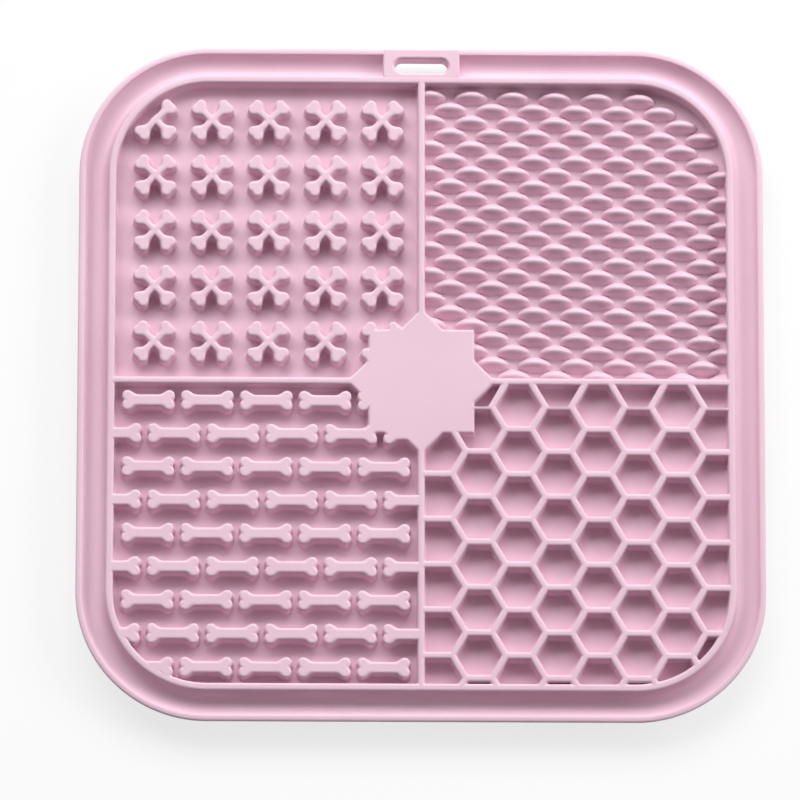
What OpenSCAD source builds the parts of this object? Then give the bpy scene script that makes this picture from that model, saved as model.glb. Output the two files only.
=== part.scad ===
// Lick mat for pets: one silicone moulding, built feature by feature.
// The origin lies under the middle of the mat, on the surface that it stands on.
// +X points to the right, +Y to the hanging tab and +Z up.

/* [Overall] */
// Width of the square mat over its outer lip
mat_w = 200; // [180:1:240]
// Radius of the mat's corners at the outer lip
corner_r = 38; // [32:1:44]
// Thickness of the flat sheet under the fields
sheet_t = 2.4; // [1.5:0.1:4]
// Height of the fields' walls and motifs above the sheet
field_h = 5.4; // [4:0.1:8]

/* [Outer rim] */
// Width of the flat top of the outer lip
lip_w = 1.3; // [0.8:0.1:2.5]
// Height of the lip's upright edge
lip_edge_h = 0.7; // [0.4:0.1:1.5]
// Height of the lip above the sheet
lip_h = 3.5; // [2:0.1:4]
// Width of the cove between the lip and the moat's floor
cove_w = 3.7; // [3:0.1:5]
// Hollow of the cove, measured from the straight line between its edges
cove_sag = 0.75; // [0.2:0.05:0.9]
// Width of the outer wall where it leaves the sheet's underside
wall_foot_w = 1; // [0.5:0.1:2]

/* [Moat and inner rim] */
// Width of the moat's flat floor
moat_floor_w = 3.65; // [2:0.05:6]
// Thickness of the inner rim
rim_t = 2.2; // [1:0.1:3]

/* [Hanging tab] */
// Width of the tab across the moat
tab_w = 22.4; // [20:0.1:26]
// Width of the tab's outer wall where it leaves the underside
tab_foot_w = 3.4; // [2.8:0.1:4.2]
// Length of the slot, over its round ends
slot_l = 15.7; // [10:0.1:18]
// Width of the slot
slot_w = 4.5; // [3:0.1:4.8]
// Distance from the inner rim's outer face to the slot
slot_gap = 1.15; // [0.8:0.05:1.5]

/* [Dividers and centre] */
// Thickness of the walls between the fields
divider_t = 2; // [1:0.1:3]
// Distance from the first honeycomb wall to the edge of the centre plate's square
plate_margin = 1.53; // [1:0.01:3]
// Reach of the centre plate's other four points past its square
plate_point = 6.2; // [5:0.1:8]

/* [Crossed bones] */
// Rows of crossed bones, with as many in each row
cross_rows = 5; // [1:1:5]
// Distance from the mat's middle lines to the nearest crossed bones' middle
cross_first = 11.46; // [9:0.01:12]
// Distance from the last crossed bones' middle to the inner rim
cross_margin = 11.34; // [9:0.01:12]
// Gap along each middle line between one bone's end and the end of the bone facing it
cross_gap = 8.59; // [7:0.01:10]
// Thickness of the bones' shanks
cross_shank = 2; // [1:0.1:2.6]
// Radius of the round lobes at the bones' ends
cross_lobe_r = 1.35; // [1:0.05:1.6]
// Distance of each lobe's middle from the bone's own middle line
cross_lobe_gap = 0.95; // [0.6:0.05:1.2]

/* [Bones] */
// Rows of bones
bone_rows = 9; // [1:1:9]
// Whole bones in the first row
bones_in_row = 5; // [1:1:5]
// Distance from the mat's middle line to the first row
bone_first_y = 6; // [5:0.1:7]
// Distance from the last row to the inner rim
bone_last_margin = 4.58; // [4:0.01:6]
// Distance from the mat's middle line to the middle of the nearest bone in the first row
bone_first_x = 10.9; // [9:0.1:12]
// Distance from the middle of the last bone in the first row to the inner rim
bone_side_margin = 9.88; // [9:0.01:12]
// Shift of every second row of bones towards the side of the mat
bone_shift = 9.61; // [6:0.01:10]
// Gap between the ends of bones in a row
bone_gap = 1.79; // [1:0.01:4]
// Thickness of a bone's shank
bone_shank = 3.4; // [2:0.1:4]
// Radius of a bone's lobes
bone_lobe_r = 1.5; // [1:0.05:1.7]
// Distance of each lobe's middle from the bone's middle line
bone_lobe_gap = 1.3; // [0.8:0.05:1.5]

/* [Honeycomb] */
// Columns of cells
columns = 8; // [3:1:9]
// Thickness of the honeycomb's walls
cell_wall = 1.8; // [1:0.1:3]
// Distance from the mat's middle line to the middle of the first column
cell_first_x = 5.13; // [3:0.01:7]
// Distance from the middle of the last column to the inner rim
cell_margin = 3.12; // [2:0.01:6]
// Distance from the mat's other middle line to the first column's second wall
cell_first_y = 14.12; // [12:0.01:16]

/* [Scales] */
// Rows of scales
scale_rows = 23; // [2:1:24]
// Distance between scales along a row
scale_pitch = 12.3; // [10:0.1:16]
// Height of a scale above the sheet
scale_h = 2.9; // [1:0.1:3.2]
// Width of the flat valley between scales
scale_valley = 0.5; // [0.3:0.05:1]
// Distance from the mat's middle line to the nearest row of scales
scale_first_y = 2.88; // [1:0.01:4]
// Distance from the last row of scales to the inner rim
scale_margin = 2.54; // [0:0.01:4]
// Distance from the mat's other middle line to the first scale in the last row
scale_first_x = 2.35; // [0:0.05:12]
// Angle by which the rows of scales fall towards the side of the mat
scale_fall = 0.9; // [0:0.1:2]

/* [Suction cups] */
// Suction cups along each side of the underside
cup_count = 5; // [2:1:5]
// Distance from the last suction cups' middles to the edge of the sheet
cup_margin = 23; // [18:1:30]
// Height of a suction cup under the sheet
cup_h = 2.6; // [2.2:0.1:4]
// Radius of a suction cup's lip
cup_r = 11; // [10.6:0.1:14]
// Height of the lip's upright edge
cup_edge_h = 0.5; // [0.3:0.1:0.8]
// Radius of a suction cup where it meets the sheet
cup_root_r = 6.5; // [4:0.1:8]
// Radius of the hollow under a suction cup
cup_hollow_r = 9.8; // [8:0.1:10]
// Depth of the hollow under a suction cup
cup_hollow_h = 1.7; // [1:0.1:1.8]
// Hollow of the cup's outer flank, measured from the straight line between its edges
cup_flank_sag = 0.4; // [0.1:0.05:0.6]

/* [Hidden] */
$fn = 96;
silicone = [0.93, 0.77, 0.84];
// Extra length of every cut past the faces that it goes through
over = 1;
// Straight steps in the arcs of the turned and swept sections
arc_steps = 6;

// Heights, from the surface that the mat stands on
sheet_z = cup_h;
floor_z = sheet_z + sheet_t;
top_z = floor_z + field_h;
lip_z = floor_z + lip_h;

// Half-widths of the rounded squares, which all share their corners' centres
outer_half = mat_w / 2;
corner_c = outer_half - corner_r;
cove_top_half = outer_half - lip_w;
sheet_half = cove_top_half - cove_w;
rim_out_half = sheet_half - moat_floor_w;
rim_in_half = rim_out_half - rim_t;
field_edge = divider_t / 2;

// Distance between the middles of copies spread evenly from first to last
function pitch(first, last, count) = (last - first) / max(count - 1, 1);

cross_pitch = pitch(cross_first, rim_in_half - cross_margin, cross_rows);
cross_reach = (cross_pitch - cross_gap) / 2;
bone_row_pitch = pitch(bone_first_y, rim_in_half - bone_last_margin, bone_rows);
bone_pitch = pitch(bone_first_x, rim_in_half - bone_side_margin, bones_in_row);
bone_l = bone_pitch - bone_gap;
column_pitch = pitch(cell_first_x, rim_in_half - cell_margin, columns);
scale_row_pitch = pitch(scale_first_y, rim_in_half - scale_margin, scale_rows);
cup_pitch = pitch(cup_margin - sheet_half, sheet_half - cup_margin, cup_count);

// Honeycomb
cell_side = column_pitch / 1.5;
cell_pitch = cell_side * sqrt(3);
wall_half_x = cell_wall / (2 * cos(30));
cells_down = ceil(rim_in_half / cell_pitch) + 1;

// Centre plate, a square and a diamond, from its middle
plate_square = cell_first_x + cell_side + wall_half_x + plate_margin;
plate_tip = plate_square + plate_point;

// Scales
rows_per_band = 2;
scale_bands = ceil(scale_rows / rows_per_band);
scale_angle = atan2(2 * scale_row_pitch, scale_pitch);
scale_w = scale_pitch * sin(scale_angle) - scale_valley;
scale_r = (scale_w * scale_w / 4 + scale_h * scale_h) / (2 * scale_h);

cross_nodes = [for (i = [1:cross_rows]) str("crossed_bones_row_", i)];
bone_nodes = [for (i = [1:bone_rows]) str("bone_row_", i)];
wall_nodes = [for (i = [1:columns - 1]) str("honeycomb_wall_", i)];
rung_nodes = [for (i = [1:columns]) str("honeycomb_rungs_", i)];
scale_nodes = [for (i = [1:scale_bands]) str("scale_band_", i)];
cup_nodes = [for (i = [1:cup_count]) str("suction_cup_row_", i)];

module rounded_square(half) {
    square([2 * half, 2 * corner_c], center = true);
    square([2 * corner_c, 2 * half], center = true);
    for (x = [-corner_c, corner_c], y = [-corner_c, corner_c]) {
        translate([x, y]) circle(half - corner_c);
    }
}

module star() {
    square(2 * plate_square, center = true);
    polygon([[plate_tip, 0], [0, plate_tip], [-plate_tip, 0], [0, -plate_tip]]);
}

// Lays an outline on the sheet and raises it to the height of the fields' walls
module wall_on_sheet() {
    translate([0, 0, floor_z]) linear_extrude(field_h) children();
}

// The plan of one field. The signs say on which side of the middle lines it lies
module field(sign_x, sign_y) {
    difference() {
        intersection() {
            rounded_square(rim_in_half);
            translate([sign_x, sign_y] * (field_edge + outer_half / 2))
                square(outer_half, center = true);
        }
        star();
    }
}

// Whether p lies inside the inner rim
function inside_rim(p) =
    let (x = max(abs(p.x) - corner_c, 0), y = max(abs(p.y) - corner_c, 0))
    norm([x, y]) < rim_in_half - corner_c;

// Points along an arc from p to q that swells by sag to the right of the way there
function arc_points(p, q, sag) =
    let (way = q - p, l = norm(way), along = way / l, side = [along.y, -along.x])
    let (r = (l * l / 4 + sag * sag) / (2 * sag), centre = (p + q) / 2 - side * (r - sag))
    let (reach = asin(l / (2 * r)))
    [for (i = [0:arc_steps])
        let (a = reach * (2 * i / arc_steps - 1))
        centre + r * (cos(a) * side + sin(a) * along)];

function moved(points, x) = [for (p = points) [p.x + x, p.y]];

// Base sheet and rims

rim_section = concat(
    arc_points([sheet_half, floor_z], [cove_top_half, lip_z], cove_sag),
    [[outer_half, lip_z], [outer_half, lip_z - lip_edge_h]],
    [[sheet_half + wall_foot_w, sheet_z], [sheet_half, sheet_z]]
);

module tab_space() {
    translate([-tab_w / 2, rim_out_half, sheet_z - over])
        cube([tab_w, outer_half - rim_out_half + over, top_z - sheet_z + 2 * over]);
}

module base_sheet() {
    color(silicone) difference() {
        translate([0, 0, sheet_z]) linear_extrude(sheet_t) rounded_square(sheet_half);
        tab_space();
    }
}

module outer_rim() {
    color(silicone) difference() {
        for (turn = [0:90:270]) rotate(turn) {
            rotate([90, 0, 0]) linear_extrude(2 * corner_c, center = true) polygon(rim_section);
            translate([corner_c, corner_c])
                rotate_extrude(angle = 90) polygon(moved(rim_section, -corner_c));
        }
        tab_space();
    }
}

module inner_rim() {
    color(silicone) wall_on_sheet() difference() {
        rounded_square(rim_out_half);
        rounded_square(rim_in_half);
    }
}

// Hanging tab, a block across the moat with the slot through it

tab_section = [
    [rim_out_half, sheet_z], [sheet_half + tab_foot_w, sheet_z],
    [outer_half, lip_z - lip_edge_h], [outer_half, lip_z],
    [cove_top_half, lip_z], [rim_out_half, top_z]
];

module slot_cut() {
    round_x = (slot_l - slot_w) / 2;
    translate([0, rim_out_half + slot_gap + slot_w / 2, sheet_z - over])
        linear_extrude(top_z - sheet_z + 2 * over) {
            square([2 * round_x, slot_w], center = true);
            for (x = [-round_x, round_x]) translate([x, 0]) circle(d = slot_w);
        }
}

module hanging_tab() {
    color(silicone) difference() {
        rotate([90, 0, 90]) linear_extrude(tab_w, center = true) polygon(tab_section);
        slot_cut();
    }
}

// Dividers and centre plate

module divider(turn) {
    color(silicone) wall_on_sheet() difference() {
        rotate(turn) translate([rim_in_half / 2, 0])
            square([rim_in_half, divider_t], center = true);
        star();
    }
}

module centre_plate() {
    color(silicone) wall_on_sheet() star();
}

// Crossed bones, in the field at the back left. An arm that would end in the inner rim
// is left out

// Half a bone, from the crossing out to its lobes
module cross_arm() {
    end = cross_reach * sqrt(2);
    translate([0, -cross_shank / 2]) square([end, cross_shank]);
    for (y = [-cross_lobe_gap, cross_lobe_gap]) translate([end, y]) circle(cross_lobe_r);
}

module crossed_bones_row(row) {
    color(silicone) wall_on_sheet() intersection() {
        field(-1, 1);
        for (i = [0:cross_rows - 1], arm = [[1, 1], [-1, 1], [-1, -1], [1, -1]]) {
            crossing = [-cross_first - i * cross_pitch, cross_first + (row - 1) * cross_pitch];
            if (inside_rim(crossing + cross_reach * arm))
                translate(crossing) rotate(atan2(arm.y, arm.x)) cross_arm();
        }
    }
}

// Bones, in the field at the front left

module bone_plan() {
    end = bone_l / 2 - bone_lobe_r;
    square([2 * end, bone_shank], center = true);
    for (x = [-end, end], y = [-bone_lobe_gap, bone_lobe_gap]) {
        translate([x, y]) circle(bone_lobe_r);
    }
}

module bone_row(row) {
    shifted = row % 2 == 0;
    first_x = -bone_first_x - (shifted ? bone_shift - bone_pitch : 0);
    y = -bone_first_y - (row - 1) * bone_row_pitch;
    color(silicone) wall_on_sheet() intersection() {
        field(-1, -1);
        for (i = [0:shifted ? bones_in_row : bones_in_row - 1])
            translate([first_x - i * bone_pitch, y]) bone_plan();
    }
}

// Honeycomb, in the field at the front right. Zigzag walls run from back to front
// between the columns of cells, and rungs close the cells across each column. The first
// and the last column's rungs run on to the divider and the inner rim. A rung that would
// touch the divider along its length is left out

function column_x(column) = cell_first_x + (column - 1) * column_pitch;
function rung_y(column, i) = -cell_first_y + cell_pitch * (column % 2 == 0 ? 1.5 - i : 1 - i);

// Points of the zigzag on the right of a column
function zigzag(column) = [
    for (i = [0:2 * cells_down])
        let (at_own_rung = i % 2 == 0)
        [column_x(column) + (at_own_rung ? cell_side / 2 : cell_side),
         rung_y(column, 0) - i * cell_pitch / 2]
];

module zigzag_plan(column) {
    points = zigzag(column);
    last = len(points) - 1;
    polygon(concat(
        moved(points, -wall_half_x),
        [for (i = [last:-1:0]) [points[i].x + wall_half_x, points[i].y]]
    ));
}

module honeycomb_wall(column) {
    color(silicone) wall_on_sheet() intersection() {
        field(1, -1);
        zigzag_plan(column);
    }
}

module honeycomb_rungs(column) {
    left = column_x(column) - cell_side * (column == 1 ? 1 : 0.5);
    right = column_x(column) + cell_side * (column == columns ? 1 : 0.5);
    color(silicone) wall_on_sheet() intersection() {
        field(1, -1);
        difference() {
            for (i = [0:cells_down]) {
                if (rung_y(column, i) + cell_wall / 2 < -field_edge)
                    translate([left, rung_y(column, i) - cell_wall / 2])
                        square([right - left, cell_wall]);
            }
            if (column > 1) zigzag_plan(column - 1);
            if (column < columns) zigzag_plan(column);
        }
    }
}

// Scales, in the field at the back right: low pillows over the diamonds of a slanted net

module scale_vault(turn) {
    rotate([90, 0, turn]) linear_extrude(2 * scale_pitch, center = true) intersection() {
        translate([0, scale_h - scale_r]) circle(scale_r);
        translate([-scale_w / 2, 0]) square([scale_w, scale_h]);
    }
}

module scale_pillow() {
    intersection() {
        scale_vault(90 + scale_angle);
        scale_vault(90 - scale_angle);
    }
}

// Whether enough of a scale with its middle at p lies in the field to be kept
function keeps_scale(p) =
    let (margin = scale_pitch / 4)
    p.x > field_edge - margin && inside_rim(p)
    && (max(p) > plate_square - margin || p.x + p.y > plate_tip);

module scale_band(band) {
    color(silicone) translate([0, 0, floor_z]) intersection() {
        for (row = [(band - 1) * rows_per_band:min(band * rows_per_band, scale_rows) - 1]) {
            row_y = rim_in_half - scale_margin - row * scale_row_pitch;
            first_x = scale_first_x + (row % 2 == 0 ? 0 : -scale_pitch / 2);
            for (x = [first_x:scale_pitch:rim_in_half]) {
                y = row_y - x * tan(scale_fall);
                if (keeps_scale([x, y])) translate([x, y]) scale_pillow();
            }
        }
        linear_extrude(field_h) field(1, 1);
    }
}

// Suction cups under the sheet

// Radius of the hollow's round roof, and the sag of the arc from its top to its edge
cup_roof_r = (cup_hollow_r * cup_hollow_r + cup_hollow_h * cup_hollow_h) / (2 * cup_hollow_h);
cup_roof_sag = cup_roof_r - sqrt(cup_roof_r * (cup_roof_r - cup_hollow_h / 2));

cup_section = concat(
    arc_points([cup_r, cup_edge_h], [cup_root_r, cup_h], -cup_flank_sag),
    [[0, cup_h]],
    arc_points([0, cup_hollow_h], [cup_hollow_r, 0], -cup_roof_sag),
    [[cup_r, 0]]
);

module suction_cup_row(row) {
    middle = (cup_count + 1) / 2;
    color(silicone) for (i = [1:cup_count]) {
        translate([i - middle, middle - row] * cup_pitch) rotate_extrude() polygon(cup_section);
    }
}

base_sheet();
outer_rim();
inner_rim();
hanging_tab();
centre_plate();
divider(0);  // divider_right
divider(90);  // divider_back
divider(180);  // divider_left
divider(270);  // divider_front
for (i = [1:cross_rows]) crossed_bones_row(i);
for (i = [1:bone_rows]) bone_row(i);
for (i = [1:columns - 1]) honeycomb_wall(i);
for (i = [1:columns]) honeycomb_rungs(i);
for (i = [1:scale_bands]) scale_band(i);
for (i = [1:cup_count]) suction_cup_row(i);
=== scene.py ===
import math
import bpy
import numpy as np
from mathutils import Matrix, Vector
from mathutils.geometry import delaunay_2d_cdt, interpolate_bezier


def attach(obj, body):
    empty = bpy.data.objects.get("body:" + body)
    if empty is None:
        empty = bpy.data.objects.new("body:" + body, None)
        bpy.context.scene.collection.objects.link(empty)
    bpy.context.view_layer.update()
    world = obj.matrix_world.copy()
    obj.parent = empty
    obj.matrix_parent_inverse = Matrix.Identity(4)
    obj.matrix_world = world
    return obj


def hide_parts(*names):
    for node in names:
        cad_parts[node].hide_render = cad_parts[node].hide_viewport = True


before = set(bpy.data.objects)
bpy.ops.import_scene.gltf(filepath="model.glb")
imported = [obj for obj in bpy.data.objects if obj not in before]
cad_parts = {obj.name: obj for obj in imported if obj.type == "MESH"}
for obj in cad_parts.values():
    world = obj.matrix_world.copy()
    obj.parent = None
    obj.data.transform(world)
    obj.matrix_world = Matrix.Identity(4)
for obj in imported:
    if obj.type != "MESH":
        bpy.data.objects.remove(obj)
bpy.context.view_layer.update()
print("frame loaded,", len(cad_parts), "nodes")

mm = 0.001

# Sizes that several pieces share, in millimetres, as in the part's source. The mat is a
# rounded square, and its half-widths all go round the same four corner centres
mat = {
    "cornerCentre": 62.0,
    "cornerSteps": 40,
    "outerHalf": 100.0,
    "rimOutHalf": 91.35,
    "rimInHalf": 89.15,
    "underside": 2.6,
    "floor": 5.0,
    "lip": 8.5,
    "top": 10.4,
}


# Camera, at the photograph's viewing angle

cameraView = {
    "towardsCamera": (-0.0201, -0.2061, 0.9783),
    "roll": 0.05,
    "distance": 2205.0,
    "lens": 341.35,
    "aimRight": -6.22,  # the mat stands right of and above the middle of the picture
    "aimUp": -5.55,
}


def addCamera(view):
    back = Vector(view["towardsCamera"]).normalized()
    right = Vector((0, 1, 0)).cross(back).normalized()
    up = back.cross(right)
    aim = Vector((0, 0, mat["top"])) + view["aimRight"] * right + view["aimUp"] * up
    turn = Matrix((right, up, back)).transposed().to_4x4()
    data = bpy.data.cameras.new("camera")
    data.lens = view["lens"]
    data.sensor_width = 36
    data.sensor_fit = "HORIZONTAL"
    camera = bpy.data.objects.new("camera", data)
    camera.matrix_world = (
        Matrix.Translation((aim + view["distance"] * back) * mm)
        @ turn @ Matrix.Rotation(math.radians(view["roll"]), 4, "Z")
    )
    bpy.context.collection.objects.link(camera)
    bpy.context.scene.camera = camera


addCamera(cameraView)
print("camera placed")


# Silicone

siliconeLook = {
    "tint": (0.79, 0.55, 0.655, 1),
    "deepTint": (0.765, 0.52, 0.625, 1),
    "cloudScale": 28.0,
    "grainScale": 2600.0,
    "smooth": 0.5,
    "rough": 0.64,
    "grainDepth": 0.00001,
    "sheen": 0.06,
    "sheenRoughness": 0.4,
}


def socket(group, name, kind, inOut, value=None):
    made = group.interface.new_socket(name, in_out=inOut, socket_type="NodeSocket" + kind)
    if value is not None:
        made.default_value = value


# Moulded silicone's cloudy tint and the fine grain of its mould
def makeMouldGrain():
    group = bpy.data.node_groups.new("mouldGrain", "ShaderNodeTree")
    socket(group, "Tint", "Color", "INPUT")
    socket(group, "Deep tint", "Color", "INPUT")
    socket(group, "Cloud scale", "Float", "INPUT", 30.0)
    socket(group, "Grain scale", "Float", "INPUT", 2500.0)
    socket(group, "Smooth", "Float", "INPUT", 0.5)
    socket(group, "Rough", "Float", "INPUT", 0.6)
    socket(group, "Color", "Color", "OUTPUT")
    socket(group, "Roughness", "Float", "OUTPUT")
    socket(group, "Grain", "Float", "OUTPUT")
    nodes, links = group.nodes, group.links
    ins = nodes.new("NodeGroupInput")
    outs = nodes.new("NodeGroupOutput")
    place = nodes.new("ShaderNodeTexCoord")
    cloud = nodes.new("ShaderNodeTexNoise")
    cloud.inputs["Detail"].default_value = 4
    links.new(place.outputs["Object"], cloud.inputs["Vector"])
    links.new(ins.outputs["Cloud scale"], cloud.inputs["Scale"])
    spread = nodes.new("ShaderNodeMapRange")
    spread.inputs["From Min"].default_value = 0.35
    spread.inputs["From Max"].default_value = 0.65
    links.new(cloud.outputs["Fac"], spread.inputs["Value"])
    mix = nodes.new("ShaderNodeMix")
    mix.data_type = "RGBA"
    links.new(spread.outputs["Result"], mix.inputs["Factor"])
    links.new(ins.outputs["Tint"], mix.inputs["A"])
    links.new(ins.outputs["Deep tint"], mix.inputs["B"])
    links.new(mix.outputs["Result"], outs.inputs["Color"])
    grain = nodes.new("ShaderNodeTexNoise")
    grain.inputs["Detail"].default_value = 2
    links.new(place.outputs["Object"], grain.inputs["Vector"])
    links.new(ins.outputs["Grain scale"], grain.inputs["Scale"])
    links.new(grain.outputs["Fac"], outs.inputs["Grain"])
    shine = nodes.new("ShaderNodeMapRange")
    links.new(grain.outputs["Fac"], shine.inputs["Value"])
    links.new(ins.outputs["Smooth"], shine.inputs["To Min"])
    links.new(ins.outputs["Rough"], shine.inputs["To Max"])
    links.new(shine.outputs["Result"], outs.inputs["Roughness"])
    return group


def makeSilicone(look, grainGroup):
    material = bpy.data.materials.new("pinkSilicone")
    material.use_nodes = True
    nodes, links = material.node_tree.nodes, material.node_tree.links
    shader = nodes["Principled BSDF"]
    grain = nodes.new("ShaderNodeGroup")
    grain.node_tree = grainGroup
    grain.inputs["Tint"].default_value = look["tint"]
    grain.inputs["Deep tint"].default_value = look["deepTint"]
    grain.inputs["Cloud scale"].default_value = look["cloudScale"]
    grain.inputs["Grain scale"].default_value = look["grainScale"]
    grain.inputs["Smooth"].default_value = look["smooth"]
    grain.inputs["Rough"].default_value = look["rough"]
    bump = nodes.new("ShaderNodeBump")
    bump.inputs["Distance"].default_value = look["grainDepth"]
    links.new(grain.outputs["Grain"], bump.inputs["Height"])
    links.new(grain.outputs["Color"], shader.inputs["Base Color"])
    links.new(grain.outputs["Roughness"], shader.inputs["Roughness"])
    links.new(bump.outputs["Normal"], shader.inputs["Normal"])
    shader.inputs["Sheen Weight"].default_value = look["sheen"]
    shader.inputs["Sheen Roughness"].default_value = look["sheenRoughness"]
    return material


silicone = makeSilicone(siliconeLook, makeMouldGrain())


# Makes a piece from points in millimetres, and lets it ride on the mat in its node's place
def addPiece(node, points, faces, normals=None):
    mesh = bpy.data.meshes.new(node + "_skin")
    mesh.from_pydata((np.asarray(points) * mm).tolist(), [], faces)
    mesh.shade_smooth()
    if normals is not None:
        mesh.normals_split_custom_set_from_vertices(np.asarray(normals).tolist())
    mesh.materials.append(silicone)
    piece = bpy.data.objects.new(node + "_skin", mesh)
    bpy.context.collection.objects.link(piece)
    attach(piece, "root")
    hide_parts(node)


# The walls and motifs are drawn as distances from their outlines in plan: below zero inside
# a wall, above zero outside. Blended together, they round off where they meet, as a moulding
# does, and one skin goes over all of them

def box(x, y, halfX, halfY, round=0):
    outX = np.abs(x) - halfX + round
    outY = np.abs(y) - halfY + round
    corner = np.hypot(np.maximum(outX, 0), np.maximum(outY, 0))
    return corner + np.minimum(np.maximum(outX, outY), 0) - round


# Two forms as one, and below it what two forms have in common
def joined(a, b, blend):
    overlap = np.maximum(blend - np.abs(a - b), 0)
    return np.minimum(a, b) - overlap * overlap / (4 * blend)


def crossed(a, b, blend):
    return -joined(-a, -b, blend)


def roundedSquare(x, y, half):
    outX = np.abs(x) - mat["cornerCentre"]
    outY = np.abs(y) - mat["cornerCentre"]
    corner = np.hypot(np.maximum(outX, 0), np.maximum(outY, 0))
    return corner + np.minimum(np.maximum(outX, outY), 0) - half + mat["cornerCentre"]


rimMiddle = (mat["rimInHalf"] + mat["rimOutHalf"]) / 2
farOff = 99.0  # the distance where there is no piece


# Even spacing across a field, from the first middle to the last one's margin at the rim
def evenPitch(first, margin, count):
    return (mat["rimInHalf"] - margin - first) / (count - 1)


# Outside one quarter of the mat, as far as the middle of the walls round it
def outsideQuarter(x, y, signX, signY):
    return np.maximum(np.maximum(-signX * x, -signY * y), roundedSquare(x, y, rimMiddle))


# Inner rim, dividers and centre plate

walls = {
    "dividerHalf": 1.0,
    "plateSquare": 15.404,
    "plateTip": 21.604,
    "plateRound": 0.35,
    "plateBlend": 0.3,
    "meetBlend": 0.5,
    "tabHalf": 10.85,  # the rims run on under the edge of the hanging tab here
    "tabOverlap": 0.35,
}


def innerRim(x, y):
    rim = np.abs(roundedSquare(x, y, rimMiddle)) - (mat["rimOutHalf"] - mat["rimInHalf"]) / 2
    reach = mat["rimOutHalf"] + walls["tabOverlap"] - rimMiddle
    ledge = box(x, y - rimMiddle - reach / 2, walls["tabHalf"], reach / 2)
    return np.minimum(rim, ledge)


def dividerAlong(x, y):
    return box(x, y, rimMiddle, walls["dividerHalf"])


def centrePlate(x, y):
    square = box(x, y, walls["plateSquare"], walls["plateSquare"], walls["plateRound"])
    half = walls["plateTip"] / math.sqrt(2)
    u, v = (x + y) / math.sqrt(2), (x - y) / math.sqrt(2)
    return joined(square, box(u, v, half, half, walls["plateRound"]), walls["plateBlend"])


# The two round lobes at a bone's end
def boneLobes(look, u, v):
    pair = joined(
        np.hypot(u, v - look["lobeGap"]), np.hypot(u, v + look["lobeGap"]), look["lobeBlend"])
    return pair - look["lobe"]


# Crossed bones, in the field at the back left

crossedBones = {
    "rows": 5,
    "first": 11.46,  # from the dividers' middles to the first crossing
    "margin": 11.34,  # from the last crossing to the inner rim
    "gap": 8.59,  # between the ends of neighbours' arms
    "shank": 2.0,
    "lobe": 1.45,
    "lobeGap": 1.0,
    "lobeBlend": 1.0,
    "flare": 2.0,
    "crossingBlend": 0.7,
}


# One arm, from the crossing, where the arms overlap, to its two lobes
def crossArm(u, v, end):
    look = crossedBones
    half = look["shank"] / 2
    arm = box(u - (end - half) / 2, v, (end + half) / 2, half)
    return joined(arm, boneLobes(look, u - end, v), look["flare"])


# Distance from the nearest crossed bones, and their row
def crossedBonesAt(x, y):
    look = crossedBones
    pitch, last = evenPitch(look["first"], look["margin"], look["rows"]), look["rows"] - 1
    reach = (pitch - look["gap"]) / 2
    column = np.clip(np.round((-x - look["first"]) / pitch), 0, last)
    row = np.clip(np.round((y - look["first"]) / pitch), 0, last)
    crossX = -look["first"] - column * pitch
    crossY = look["first"] + row * pitch
    bones = []
    for signX, signY in ((1, 1), (-1, 1)):
        halves = []
        for way in (1, -1):
            u = way * (signX * (x - crossX) + signY * (y - crossY)) / math.sqrt(2)
            v = (signX * (y - crossY) - signY * (x - crossX)) / math.sqrt(2)
            arm = crossArm(u, v, reach * math.sqrt(2))
            endX, endY = crossX + way * signX * reach, crossY + way * signY * reach
            inRim = roundedSquare(endX, endY, mat["rimInHalf"]) < 0
            halves.append(np.where(inRim, arm, farOff))  # the corner cross has three arms
        bones.append(np.minimum(*halves))
    crosses = joined(*bones, look["crossingBlend"])
    return np.maximum(crosses, outsideQuarter(x, y, -1, 1)), row


# Bones, in the field at the front left

singleBones = {
    "rows": 9,
    "inRow": 5,
    "firstX": 10.9,
    "marginX": 9.88,
    "firstY": 6.0,
    "marginY": 4.58,
    "shift": 9.61,  # of every second row
    "between": 1.79,
    "shank": 3.4,
    "lobe": 1.55,
    "lobeGap": 1.38,
    "lobeBlend": 0.6,
    "flare": 1.8,
}


# Distance from the nearest bone, and its row
def singleBonesAt(x, y):
    look = singleBones
    pitch = evenPitch(look["firstX"], look["marginX"], look["inRow"])
    rowPitch = evenPitch(look["firstY"], look["marginY"], look["rows"])
    row = np.clip(np.round((-y - look["firstY"]) / rowPitch), 0, look["rows"] - 1)
    shifted = row % 2
    firstX = look["firstX"] + shifted * (look["shift"] - pitch)
    column = np.clip(np.round((-x - firstX) / pitch), 0, look["inRow"] - 1 + shifted)
    u = np.abs(x + firstX + column * pitch)
    v = y + look["firstY"] + row * rowPitch
    end = (pitch - look["between"]) / 2 - look["lobe"]
    shank = box(u, v, end, look["shank"] / 2)
    bones = joined(shank, boneLobes(look, u - end, v), look["flare"])
    return np.maximum(bones, outsideQuarter(x, y, -1, -1)), row


# Honeycomb, in the field at the front right

honeycomb = {
    "columns": 8,
    "firstX": 5.13,
    "margin": 3.12,
    "firstWallY": -14.12,  # middle of a cell of the even columns
    "wall": 2.05,
    "cornerBlend": 0.35,
    "rungTolerance": 0.1,
}


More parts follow.
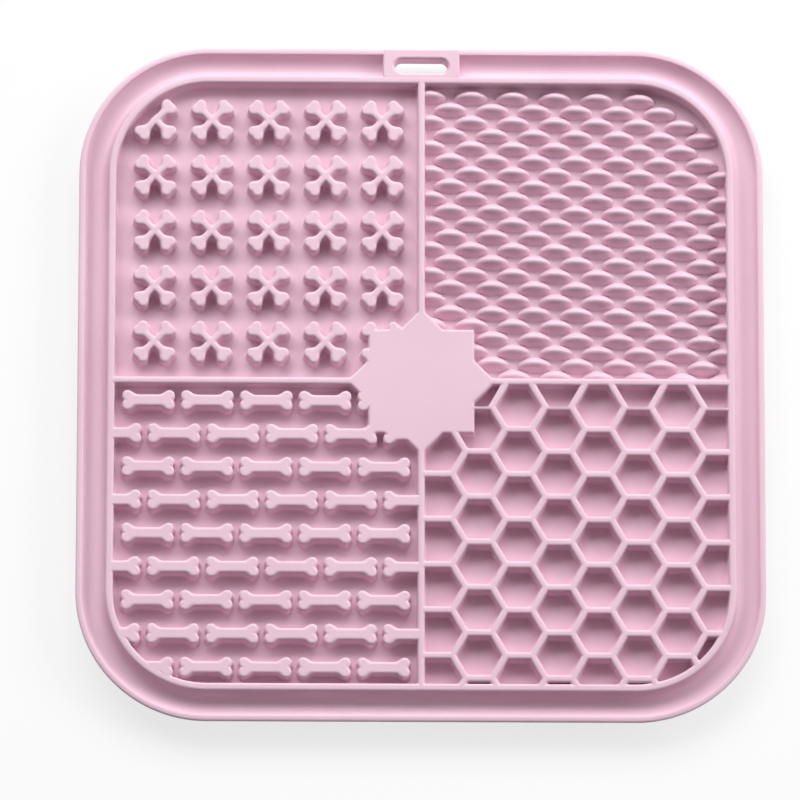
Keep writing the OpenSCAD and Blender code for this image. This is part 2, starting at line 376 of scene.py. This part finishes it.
# Distance from the nearest wall of the honeycomb, whether that is a rung, and the column of
# the rung and of the zigzag wall
def honeycombAt(x, y):
    look = honeycomb
    columnPitch = evenPitch(look["firstX"], look["margin"], look["columns"])
    cell = columnPitch / 1.5 * math.sqrt(3)
    lastX = look["firstX"] + (look["columns"] - 1) * columnPitch
    slant, blend = 0.75 ** 0.5, look["cornerBlend"]
    rungs, zigzags, columns, sides = [], [], [], []
    for odd in (0, 1):
        column = np.round(((x - look["firstX"]) / columnPitch - odd) / 2) * 2 + odd
        u = x - look["firstX"] - column * columnPitch
        v = y - look["firstWallY"] - (0 if odd else cell / 2)
        v = v - np.round(v / cell) * cell
        right = crossed(u * slant + v / 2, u * slant - v / 2, blend)
        left = crossed(-u * slant + v / 2, -u * slant - v / 2, blend)
        rungs.append(cell / 2 - np.abs(v))
        zigzags.append(cell / 2 - np.maximum(right, left))
        columns.append(column)
        sides.append(u)
    # the nearer cell is the one that the point lies in
    depth = [crossed(-r, -z, blend) for r, z in zip(rungs, zigzags)]
    inOdd = depth[1] < depth[0]
    rung = np.where(inOdd, rungs[1], rungs[0])
    zigzag = np.where(inOdd, zigzags[1], zigzags[0])
    column = np.where(inOdd, columns[1], columns[0])
    side = np.where(inOdd, sides[1], sides[0])
    # the outer columns are open towards the divider and the rim, and only rungs cross them
    before, after = x < look["firstX"], x > lastX
    rung = np.where(before, rungs[0], np.where(after, rungs[1], rung))
    column = np.where(before, 0, np.where(after, look["columns"] - 1, column))
    zigzag = np.where(before | after, farOff, zigzag)
    # a rung right under the divider is left out
    firstRungY = look["firstWallY"] + cell / 2
    rung = np.where(y > firstRungY - look["rungTolerance"], farOff, rung)
    both = joined(rung, zigzag, blend) - look["wall"] / 2
    wall = np.clip(column + np.where(side > 0, 0, -1), 0, look["columns"] - 2)
    return np.maximum(both, outsideQuarter(x, y, 1, -1)), rung < zigzag, column, wall


# All of them together
def mouldDistance(x, y):
    parts = [
        innerRim(x, y), dividerAlong(x, y), dividerAlong(y, x), centrePlate(x, y),
        crossedBonesAt(x, y)[0], singleBonesAt(x, y)[0], honeycombAt(x, y)[0],
    ]
    whole = parts[0]
    for part in parts[1:]:
        whole = joined(whole, part, walls["meetBlend"])
    return whole


nodeOrder = ["inner_rim", "centre_plate", "divider_left", "divider_right", "divider_front",
             "divider_back"]
nodeOrder += [f"crossed_bones_row_{i + 1}" for i in range(crossedBones["rows"])]
nodeOrder += [f"bone_row_{i + 1}" for i in range(singleBones["rows"])]
nodeOrder += [f"honeycomb_wall_{i + 1}" for i in range(honeycomb["columns"] - 1)]
nodeOrder += [f"honeycomb_rungs_{i + 1}" for i in range(honeycomb["columns"])]


# Place in nodeOrder of the node that each point belongs to
def mouldNode(x, y):
    crosses, crossRow = crossedBonesAt(x, y)
    bones, boneRow = singleBonesAt(x, y)
    comb, isRung, column, wall = honeycombAt(x, y)
    distances = np.array([
        innerRim(x, y), centrePlate(x, y), dividerAlong(x, y), dividerAlong(y, x),
        crosses, bones, comb,
    ])
    place = {name: index for index, name in enumerate(nodeOrder)}
    names = np.array([
        np.full_like(x, place["inner_rim"]),
        np.full_like(x, place["centre_plate"]),
        np.where(x < 0, place["divider_left"], place["divider_right"]),
        np.where(y < 0, place["divider_front"], place["divider_back"]),
        place["crossed_bones_row_1"] + crossRow,
        place["bone_row_1"] + boneRow,
        np.where(isRung, place["honeycomb_rungs_1"] + column, place["honeycomb_wall_1"] + wall),
    ])
    nearest = np.argmin(distances, axis=0)
    return np.take_along_axis(names, nearest[None], 0)[0].astype(int)


# Closed lines along which a distance is the same, from its values on a square grid. The
# inside lies on their left
def linesAt(values, level, start, step):
    size = values.shape[0]
    inside = values < level
    crossX = inside[:, :-1] != inside[:, 1:]
    crossY = inside[:-1, :] != inside[1:, :]
    rowsX, columnsX = np.nonzero(crossX)
    rowsY, columnsY = np.nonzero(crossY)
    shareX = (level - values[rowsX, columnsX]) / (
        values[rowsX, columnsX + 1] - values[rowsX, columnsX])
    shareY = (level - values[rowsY, columnsY]) / (
        values[rowsY + 1, columnsY] - values[rowsY, columnsY])
    points = np.concatenate([
        np.stack([columnsX + shareX, rowsX], 1), np.stack([columnsY, rowsY + shareY], 1)
    ]) * step + start
    number = np.full(2 * size * size, -1)
    number[np.concatenate([rowsX * size + columnsX, size * size + rowsY * size + columnsY])] = (
        np.arange(len(points)))
    a, b = inside[:-1, :-1], inside[:-1, 1:]
    c, d = inside[1:, 1:], inside[1:, :-1]
    case = a + 2 * b + 4 * c + 8 * d
    middle = (values[:-1, :-1] + values[:-1, 1:] + values[1:, 1:] + values[1:, :-1]) / 4 < level
    # which side of a grid square a line comes in and leaves by: 0 near, 1 right, 2 far, 3 left
    ways = {
        1: [(0, 3)], 2: [(1, 0)], 4: [(2, 1)], 8: [(3, 2)], 3: [(1, 3)], 6: [(2, 0)],
        12: [(3, 1)], 9: [(0, 2)], 14: [(3, 0)], 13: [(0, 1)], 11: [(1, 2)], 7: [(2, 3)],
    }
    onward = np.full(len(points), -1)

    def join(rows, columns, way):
        ends = []
        for side in way:
            row, column = rows + (side == 2), columns + (side == 1)
            ends.append(number[(side % 2) * size * size + row * size + column])
        onward[ends[0]] = ends[1]

    for code, sides in ways.items():
        rows, columns = np.nonzero(case == code)
        for way in sides:
            join(rows, columns, way)
    # two corners across from each other lie inside: the square's middle tells which way
    for code, filled, parted in ((5, [(0, 1), (2, 3)], [(0, 3), (2, 1)]),
                                 (10, [(3, 0), (1, 2)], [(1, 0), (3, 2)])):
        for here, sides in ((middle, filled), (~middle, parted)):
            rows, columns = np.nonzero((case == code) & here)
            for way in sides:
                join(rows, columns, way)
    lines, seen, onwardList = [], np.zeros(len(points), bool), onward.tolist()
    for first in range(len(points)):
        if seen[first]:
            continue
        line, at = [], first
        while at >= 0 and not seen[at]:
            seen[at] = True
            line.append(at)
            at = onwardList[at]
        lines.append(points[line])
    return lines


tiny = 1e-6  # keeps divisions off zero


# Leaves out the points of a line that lie too close, or that a straight stretch doesn't need
def thinned(line, closest=0.05, tolerance=0.003, longest=6):
    apart = np.hypot(*(line - np.roll(line, 1, axis=0)).T)
    line = line[apart > closest]
    if len(line) < 4:
        return None
    before, after = np.roll(line, 1, axis=0), np.roll(line, -1, axis=0)
    span = after - before
    off = np.abs(span[:, 0] * (line - before)[:, 1] - span[:, 1] * (line - before)[:, 0])
    off = off / np.maximum(np.hypot(*span.T), tiny)
    keep = (off > tolerance) | (np.arange(len(line)) % longest == 0)
    return line[keep] if keep.sum() > 3 else None


# Covers a plan between its level lines with triangles. Gives the points, the level that
# each lies on, and the triangles, without those that lie flat on the last level
def contourSkin(distance, levels, half, step, centre=(0, 0), snap=1e-7):
    count = int(2 * half / step) + 1
    start = np.array(centre) - half
    axis = np.arange(count) * step
    gridX, gridY = np.meshgrid(axis + start[0], axis + start[1])
    values = distance(gridX, gridY)
    points, onLevel, edges = [], [], []
    for index, level in enumerate(levels):
        for line in linesAt(values, level, start, step):
            line = thinned(line)
            if line is None:
                continue
            first = len(points)
            points += [Vector(p) for p in line.tolist()]
            onLevel += [index] * len(line)
            edges += [(first + i, first + (i + 1) % len(line)) for i in range(len(line))]
    made = delaunay_2d_cdt(points, edges, [], 0, snap, True)
    plan = np.array([p[:] for p in made[0]])
    onLevel = np.array([onLevel[origin[0]] if origin else 0 for origin in made[3]])
    triangles = np.array([f for f in made[2] if len(f) == 3])
    flat = (onLevel[triangles] == len(levels) - 1).all(axis=1)
    return plan, onLevel, triangles[~flat]


# The way that a distance grows, for the slope of the skin at each point
def outwards(distance, plan, reach=0.06):
    x, y = plan[:, 0], plan[:, 1]
    along = np.stack([
        distance(x + reach, y) - distance(x - reach, y),
        distance(x, y + reach) - distance(x, y - reach),
    ], 1)
    return along / np.maximum(np.hypot(*along.T), tiny)[:, None]


# A section drawn with curved stretches: a point, the two handles and the next point
def curvedLine(stretches, steps):
    line = []
    for stretch in stretches:
        corners = [Vector((u, 0, v)) for u, v in stretch]
        line += [(p.x, p.z) for p in interpolate_bezier(*corners, steps)[:-1]]
    return line + [stretches[-1][-1]]


# Sweeps a section round the mat, from one side of the hanging tab to the other
def sweptRound(stretches, steps):
    section = curvedLine(stretches, steps)
    centre, cornerSteps = mat["cornerCentre"], mat["cornerSteps"]
    # places on the corner centres' square, and the way out from each
    stations = [(walls["tabHalf"], centre, 90.0)]
    for turn in (0, -90, -180, -270):
        cornerX = centre if turn in (0, -90) else -centre
        cornerY = centre if turn in (0, -270) else -centre
        for i in range(cornerSteps + 1):
            stations.append((cornerX, cornerY, 90.0 + turn - 90 * i / cornerSteps))
    stations.append((-walls["tabHalf"], centre, -270.0))
    points, faces = [], []
    for x, y, way in stations:
        outX, outY = math.cos(math.radians(way)), math.sin(math.radians(way))
        points += [(x + (r - centre) * outX, y + (r - centre) * outY, z) for r, z in section]
    width = len(section)
    for i in range(len(stations) - 1):
        for j in range(width - 1):
            a = i * width + j
            faces.append((a, a + width, a + 1 + width, a + 1))
    return points, faces


# Fields' walls and motifs

wallSkin = {
    "step": 0.25,
    "edgeWidth": 0.8,
    "edgeDrop": 0.55,
    "edgeTurns": (0, 22, 44, 65, 86),
    "draft": 0.12,
    "footRadius": 0.6,
    "footTurns": (0, 35, 65, 90),
    "steepest": 88,  # tilt of the skin on the walls' sides
    "sunk": 0.01,  # the feet end this far under the floor
    "gridMargin": 2,
    # the inner rim's slope into the moat
    "moatFoot": [((91.3, 8.9), (91.75, 7.0), (92.2, 5.2), (93.8, 4.99))],
    "moatFootSteps": 9,
}


# Distances, heights and tilts of the skin's levels, from the flat top down to the floor
def skinLevels(look, top, floor):
    levels = []
    for turn in look["edgeTurns"]:
        across, down = math.sin(math.radians(turn)), 1 - math.cos(math.radians(turn))
        tilt = math.atan2(look["edgeDrop"] * across, look["edgeWidth"] * (1 - down))
        levels.append((look["edgeWidth"] * (across - 1), top - look["edgeDrop"] * down, tilt))
    for turn in look["footTurns"]:
        across, down = 1 - math.cos(math.radians(turn)), 1 - math.sin(math.radians(turn))
        radius = look["footRadius"]
        tilt = math.radians(min(90 - turn, look["steepest"]))
        levels.append((look["draft"] + radius * across, floor + radius * down, tilt))
    return levels


# Adds a foot, swept round the mat, to a piece's points, faces and normals
def withFoot(skin, section, steps):
    first = len(skin[0])
    points, faces = sweptRound(section, steps)
    along = np.array(points).reshape(-1, steps, 3)
    slope = np.gradient(along, axis=1)
    way = np.gradient(along, axis=0)
    normals = np.cross(way, slope).reshape(-1, 3)
    normals *= np.sign(normals[:, 2:])
    normals /= np.linalg.norm(normals, axis=1)[:, None]
    faces = skin[1] + [tuple(first + i for i in face) for face in faces]
    return np.concatenate([skin[0], points]), faces, np.concatenate([skin[2], normals])


def addWalls(look):
    levels = np.array(skinLevels(look, mat["top"], mat["floor"] - look["sunk"]))
    half = mat["rimOutHalf"] + look["gridMargin"]
    plan, onLevel, triangles = contourSkin(mouldDistance, levels[:, 0], half, look["step"])
    points = np.column_stack([plan, levels[onLevel, 1]])
    tilt = levels[onLevel, 2]
    normals = np.column_stack([
        outwards(mouldDistance, plan) * np.sin(tilt)[:, None], np.cos(tilt)
    ])
    middles = plan[triangles].mean(axis=1)
    owners = mouldNode(middles[:, 0], middles[:, 1])
    for index, name in enumerate(nodeOrder):
        own = triangles[owners == index]
        used, numbered = np.unique(own, return_inverse=True)
        skin = points[used], numbered.reshape(-1, 3).tolist(), normals[used]
        if name == "inner_rim":
            skin = withFoot(skin, look["moatFoot"], look["moatFootSteps"])
        addPiece(name, *skin)
    print("walls and motifs:", len(points), "points,", len(triangles), "triangles")


addWalls(wallSkin)


# Scales, in the field at the back right: bent ridges with pointed ends, on a slanted net

scales = {
    "rows": 23,
    "rowsInBand": 2,
    "pitch": 12.3,
    "firstX": 2.35,
    "firstY": 2.88,
    "margin": 2.54,
    "fall": 0.9,  # degrees that the rows fall by, towards the side of the mat
    "height": 3.8,
    "halfLength": 4.9,
    "farHalf": 2.1,
    "nearHalf": 2.5,
    "bend": 0.025,  # the crest's ends lie nearer than its middle
    "section": 2.1,
    "fullness": 1.1,
    "taperHeight": 0.55,
    "taperWidth": 0.5,
    "leastTaper": 1e-9,  # keeps divisions at the pointed ends off zero
    "step": 0.3,
    "lift": 0.01,
    "overlap": 0.4,  # how far they run in under the walls
}


# Height of the scales above the floor, and the row of the highest one at each point
def scaleHeight(x, y):
    look = scales
    height, nearestRow = np.zeros_like(x), np.zeros_like(x)
    rowPitch = evenPitch(look["firstY"], look["margin"], look["rows"])
    lastY = mat["rimInHalf"] - look["margin"]
    fall = math.tan(math.radians(look["fall"]))
    level = y + x * fall
    margin = look["pitch"] / 4
    for shifted in (0, 1):
        row = np.round(((lastY - level) / rowPitch - shifted) / 2) * 2 + shifted
        row = np.clip(row, shifted, look["rows"] - 1 - (look["rows"] - 1 - shifted) % 2)
        firstX = look["firstX"] - shifted * look["pitch"] / 2
        middleX = firstX + np.round((x - firstX) / look["pitch"]) * look["pitch"]
        middleY = lastY - row * rowPitch - middleX * fall
        taper = np.clip(1 - ((x - middleX) / look["halfLength"]) ** 2, look["leastTaper"], 1)
        away = y - middleY + look["bend"] * (x - middleX) ** 2
        half = np.where(away > 0, look["farHalf"], look["nearHalf"]) * taper ** look["taperWidth"]
        across = np.clip(1 - np.abs(away / half) ** look["section"], 0, 1) ** look["fullness"]
        dome = look["height"] * taper ** look["taperHeight"] * across
        reach = np.maximum(middleX, middleY)
        kept = (
            (middleX > walls["dividerHalf"] - margin)
            & (roundedSquare(middleX, middleY, mat["rimInHalf"]) < 0)
            & ((reach > walls["plateSquare"] - margin)
               | (middleX + middleY > walls["plateTip"]))
        )
        dome = np.where(kept, dome, 0)
        nearestRow = np.where((dome > height) | (height == 0), row, nearestRow)
        height = np.maximum(height, dome)
    return height, nearestRow


def addScales(look):
    count = int(rimMiddle / look["step"]) + 1
    axis = np.arange(count) * look["step"]
    x, y = np.meshgrid(axis, axis)
    height = scaleHeight(x, y)[0]
    reach = 0.05
    normals = np.stack([
        scaleHeight(x - reach, y)[0] - scaleHeight(x + reach, y)[0],
        scaleHeight(x, y - reach)[0] - scaleHeight(x, y + reach)[0],
        np.full_like(x, 2 * reach),
    ], 2).reshape(-1, 3)
    normals /= np.linalg.norm(normals, axis=1)[:, None]
    points = np.stack([x, y, height + mat["floor"] + look["lift"]], 2).reshape(-1, 3)
    corner = (np.arange(count - 1)[:, None] * count + np.arange(count - 1)).ravel()
    quads = np.stack([corner, corner + 1, corner + count + 1, corner + count], 1)
    middles = points[quads].mean(axis=1)
    x, y = middles[:, 0], middles[:, 1]
    inField = -np.maximum(
        roundedSquare(x, y, mat["rimInHalf"]), walls["dividerHalf"] - np.minimum(x, y))
    shown = np.minimum(inField, centrePlate(x, y)) > -look["overlap"]
    band = scaleHeight(x, y)[1] // look["rowsInBand"]
    for index in range(math.ceil(look["rows"] / look["rowsInBand"])):
        own = quads[shown & (band == index)]
        used, numbered = np.unique(own, return_inverse=True)
        faces = numbered.reshape(-1, 4).tolist()
        addPiece(f"scale_band_{index + 1}", points[used], faces, normals[used])
    print("scales:", int(shown.sum()), "quads")


addScales(scales)


# Outer rim

outerRim = {
    "section": [
        ((94.4, 4.99), (95.9, 5.0), (97.5, 6.0), (97.95, 7.75)),
        ((97.95, 7.75), (98.1, 8.3), (98.3, 8.5), (98.6, 8.5)),
        ((98.6, 8.5), (99.6, 8.5), (100.0, 8.4), (100.0, 7.8)),
        ((100.0, 7.8), (100.0, 7.35), (99.75, 7.15), (99.45, 6.75)),
        ((99.45, 6.75), (98.4, 5.4), (97.3, 4.0), (96.2, 2.75)),
        ((96.2, 2.75), (96.1, 2.62), (96.0, 2.6), (95.8, 2.6)),
        ((95.8, 2.6), (95.6, 2.6), (95.2, 2.6), (95.0, 2.6)),
    ],
    "sectionSteps": 7,
}


def addOuterRim(look):
    points, faces = sweptRound(look["section"], look["sectionSteps"])
    addPiece("outer_rim", points, faces)
    print("outer rim:", len(points), "points")


addOuterRim(outerRim)


# Hanging tab: a block across the moat with round edges and a slot through it

hangingTab = {
    "half": 11.2,
    "slotHalf": 7.85,
    "slotWidth": 4.5,
    "slotGap": 1.15,
    "slotEdge": 0.5,  # its edge is rounder than the block's, by this much of the slope
    "rimOverlap": 0.6,  # it runs into the inner rim
    "cornerRound": 0.3,
    "topEdge": 98.7,  # its top falls to the lip's height here
    "outerFoot": 98.4,
    "leanEnd": 7.8,  # the outer wall leans in from this height down to the underside
    "edgeWidth": 0.45,
    "edgeDrop": 0.45,
    "edgeTurns": (0, 25, 50, 72, 88),
    "footTurns": (),
    "bottomEdge": 0.2,
    "wallOut": 0.02,
    "wallTilt": 1.57,  # upright, in radians
    "wallFoot": 4.0,  # where the skins of the top and of the underside meet
    "step": 0.16,
    "gridMargin": 1,
}


def tabDistance(x, y):
    look = hangingTab
    back = mat["rimOutHalf"] - look["rimOverlap"]
    block = box(x, y - (mat["outerHalf"] + back) / 2, look["half"],
                (mat["outerHalf"] - back) / 2, look["cornerRound"])
    slotY = mat["rimOutHalf"] + look["slotGap"] + look["slotWidth"] / 2
    run = look["slotHalf"] - look["slotWidth"] / 2
    slot = np.hypot(np.maximum(np.abs(x) - run, 0), y - slotY) - look["slotWidth"] / 2
    return np.maximum(block, -slot * look["slotEdge"])


def addHangingTab(look):
    levels = np.array(skinLevels(look, 0, 0) + [(look["wallOut"], 0, look["wallTilt"])])
    centre = (0, (mat["rimOutHalf"] + mat["outerHalf"]) / 2)
    sides = []
    for upward in (True, False):
        edge = levels if upward else levels * (look["bottomEdge"] / look["edgeWidth"], 1, 1)
        edge[-1, 0] = look["wallOut"]
        plan, onLevel, triangles = contourSkin(
            tabDistance, edge[:, 0], look["half"] + look["gridMargin"], look["step"], centre)
        slope = (mat["top"] - mat["lip"]) / (look["topEdge"] - mat["rimOutHalf"])
        topHere = mat["top"] - slope * np.clip(plan[:, 1] - mat["rimOutHalf"], 0, None)
        topHere = np.maximum(topHere, mat["lip"])
        if upward:
            height = topHere + edge[onLevel, 1]
        else:
            height = mat["underside"] - edge[onLevel, 1] * look["bottomEdge"] / look["edgeDrop"]
            triangles = triangles[:, ::-1]
        height = np.where(onLevel == len(edge) - 1, look["wallFoot"], height)
        tilt = edge[onLevel, 2]
        up = np.cos(tilt) * (1 if upward else -1)
        normals = np.column_stack([outwards(tabDistance, plan) * np.sin(tilt)[:, None], up])
        lean = np.clip(
            (height - mat["underside"]) / (look["leanEnd"] - mat["underside"]), 0, 1)
        limit = look["outerFoot"] + lean * (mat["outerHalf"] - look["outerFoot"])
        plan = np.column_stack([plan[:, 0], np.minimum(plan[:, 1], limit)])
        sides.append((np.column_stack([plan, height]), triangles, normals))
    first = len(sides[0][0])
    faces = np.concatenate([sides[0][1], sides[1][1] + first]).tolist()
    addPiece("hanging_tab", np.concatenate([s[0] for s in sides]), faces,
             np.concatenate([s[2] for s in sides]))
    print("hanging tab:", first, "points on top")


addHangingTab(hangingTab)


# Suction cups, turned from one section

suctionCups = {
    "count": 5,
    "pitch": 36.0,
    "around": 72,
    "section": [
        ((6.2, 2.62), (7.0, 2.35), (8.6, 1.55), (10.7, 0.62)),
        ((10.7, 0.62), (10.9, 0.52), (11.0, 0.45), (11.0, 0.3)),
        ((11.0, 0.3), (11.0, 0.1), (10.9, 0.0), (10.7, 0.0)),
        ((10.7, 0.0), (10.5, 0.0), (10.2, 0.0), (9.95, 0.0)),
        ((9.95, 0.0), (9.8, 0.0), (9.7, 0.04), (9.6, 0.09)),
        ((9.6, 0.09), (7.0, 1.3), (3.2, 1.7), (0.0, 1.7)),
    ],
    "sectionSteps": 7,
}


def addSuctionCups(look):
    section = curvedLine(look["section"], look["sectionSteps"])[:-1]
    around, width = look["around"], len(section)
    middle = (look["count"] - 1) / 2
    for row in range(look["count"]):
        points, faces = [], []
        for column in range(look["count"]):
            x, y = (column - middle) * look["pitch"], (middle - row) * look["pitch"]
            first = len(points)
            for i in range(around):
                turn = 2 * math.pi * i / around
                points += [(x + r * math.cos(turn), y + r * math.sin(turn), z)
                           for r, z in section]
            points.append((x, y, look["section"][-1][-1][1]))
            for i in range(around):
                a, b = first + i * width, first + (i + 1) % around * width
                faces += [(a + j, b + j, b + j + 1, a + j + 1) for j in range(width - 1)]
                faces.append((a + width - 1, b + width - 1, first + around * width))
        addPiece(f"suction_cup_row_{row + 1}", points, faces)
    print("suction cups:", look["count"] ** 2)


addSuctionCups(suctionCups)


# Base sheet, as the frame has it

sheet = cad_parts["base_sheet"]
sheet.data.materials.clear()
sheet.data.materials.append(silicone)


# Floor, light and surroundings

studio = {
    "floorTint": (0.9, 0.9, 0.9, 1),
    "floorRoughness": 0.9,
    "floorHalf": 3.0,
    "floorHeight": -0.00005,  # just clear of the suction cups' edges
    "floorWhite": 0.75,  # how much of the floor shows as plain white, over the shadow
    "skyStrength": (0.05, 0.22),  # from the near side and from the window's side
    "skyFade": (-0.7, 0.5),  # where along Y it starts and ends to grow
    # which way each lamp lies, in degrees from +Y to +X and above the table, its size and power
    "lamps": [
        {"name": "window", "turn": -12, "height": 43, "size": (2.0, 1.0), "watts": 34.4},
        {"name": "fill", "turn": 68, "height": 30, "size": (1.5, 0.6), "watts": 18},
    ],
    "lampDistance": 1.7,
}


def addLamp(look, distance):
    lamp = bpy.data.lights.new(look["name"], "AREA")
    lamp.shape = "RECTANGLE"
    lamp.size, lamp.size_y = look["size"]
    lamp.energy = look["watts"]
    turn, height = math.radians(look["turn"]), math.radians(look["height"])
    way = Vector((math.sin(turn) * math.cos(height), math.cos(turn) * math.cos(height),
                  math.sin(height)))
    placed = bpy.data.objects.new(look["name"], lamp)
    placed.location = way * distance
    placed.rotation_euler = way.to_track_quat("Z", "Y").to_euler()
    bpy.context.collection.objects.link(placed)


# Camera, glossy and transmission rays, which see the white surroundings
def seenRays(nodes, links):
    rays = nodes.new("ShaderNodeLightPath")
    seen = rays.outputs["Is Camera Ray"]
    for name in ("Is Glossy Ray", "Is Transmission Ray"):
        either = nodes.new("ShaderNodeMath")
        either.operation = "MAXIMUM"
        links.new(seen, either.inputs[0])
        links.new(rays.outputs[name], either.inputs[1])
        seen = either.outputs["Value"]
    return seen


def makePaper(look):
    paper = bpy.data.materials.new("paper")
    paper.use_nodes = True
    nodes, links = paper.node_tree.nodes, paper.node_tree.links
    shader = nodes["Principled BSDF"]
    shader.inputs["Base Color"].default_value = look["floorTint"]
    shader.inputs["Roughness"].default_value = look["floorRoughness"]
    shader.inputs["Specular IOR Level"].default_value = 0.0
    white = nodes.new("ShaderNodeEmission")
    share = nodes.new("ShaderNodeMath")
    share.operation = "MULTIPLY"
    share.inputs[1].default_value = look["floorWhite"]
    links.new(seenRays(nodes, links), share.inputs[0])
    mix = nodes.new("ShaderNodeMixShader")
    links.new(share.outputs["Value"], mix.inputs["Fac"])
    links.new(shader.outputs["BSDF"], mix.inputs[1])
    links.new(white.outputs["Emission"], mix.inputs[2])
    # clear from below, so that the mat's underside can be looked at
    side = nodes.new("ShaderNodeNewGeometry")
    clear = nodes.new("ShaderNodeBsdfTransparent")
    oneSided = nodes.new("ShaderNodeMixShader")
    links.new(side.outputs["Backfacing"], oneSided.inputs["Fac"])
    links.new(mix.outputs["Shader"], oneSided.inputs[1])
    links.new(clear.outputs["BSDF"], oneSided.inputs[2])
    links.new(oneSided.outputs["Shader"], nodes["Material Output"].inputs["Surface"])
    return paper


def addStudio(look):
    half, z = look["floorHalf"], look["floorHeight"]
    mesh = bpy.data.meshes.new("floor")
    corners = [(-half, -half, z), (half, -half, z), (half, half, z), (-half, half, z)]
    mesh.from_pydata(corners, [], [(0, 1, 2, 3)])
    floor = bpy.data.objects.new("floor", mesh)
    bpy.context.collection.objects.link(floor)
    mesh.materials.append(makePaper(look))
    for lamp in look["lamps"]:
        addLamp(lamp, look["lampDistance"])

    world = bpy.data.worlds.new("studio")
    bpy.context.scene.world = world
    world.use_nodes = True
    nodes, links = world.node_tree.nodes, world.node_tree.links
    nodes.clear()
    sky = nodes.new("ShaderNodeBackground")
    place = nodes.new("ShaderNodeTexCoord")
    sides = nodes.new("ShaderNodeSeparateXYZ")
    fade = nodes.new("ShaderNodeMapRange")
    fade.inputs["From Min"].default_value, fade.inputs["From Max"].default_value = look["skyFade"]
    fade.inputs["To Min"].default_value, fade.inputs["To Max"].default_value = look["skyStrength"]
    links.new(place.outputs["Generated"], sides.inputs["Vector"])
    links.new(sides.outputs["Y"], fade.inputs["Value"])
    links.new(fade.outputs["Result"], sky.inputs["Strength"])
    white = nodes.new("ShaderNodeBackground")
    mix = nodes.new("ShaderNodeMixShader")
    out = nodes.new("ShaderNodeOutputWorld")
    links.new(seenRays(nodes, links), mix.inputs["Fac"])
    links.new(sky.outputs["Background"], mix.inputs[1])
    links.new(white.outputs["Background"], mix.inputs[2])
    links.new(mix.outputs["Shader"], out.inputs["Surface"])


addStudio(studio)
bpy.context.scene.view_settings.view_transform = "Standard"
print("studio lit")
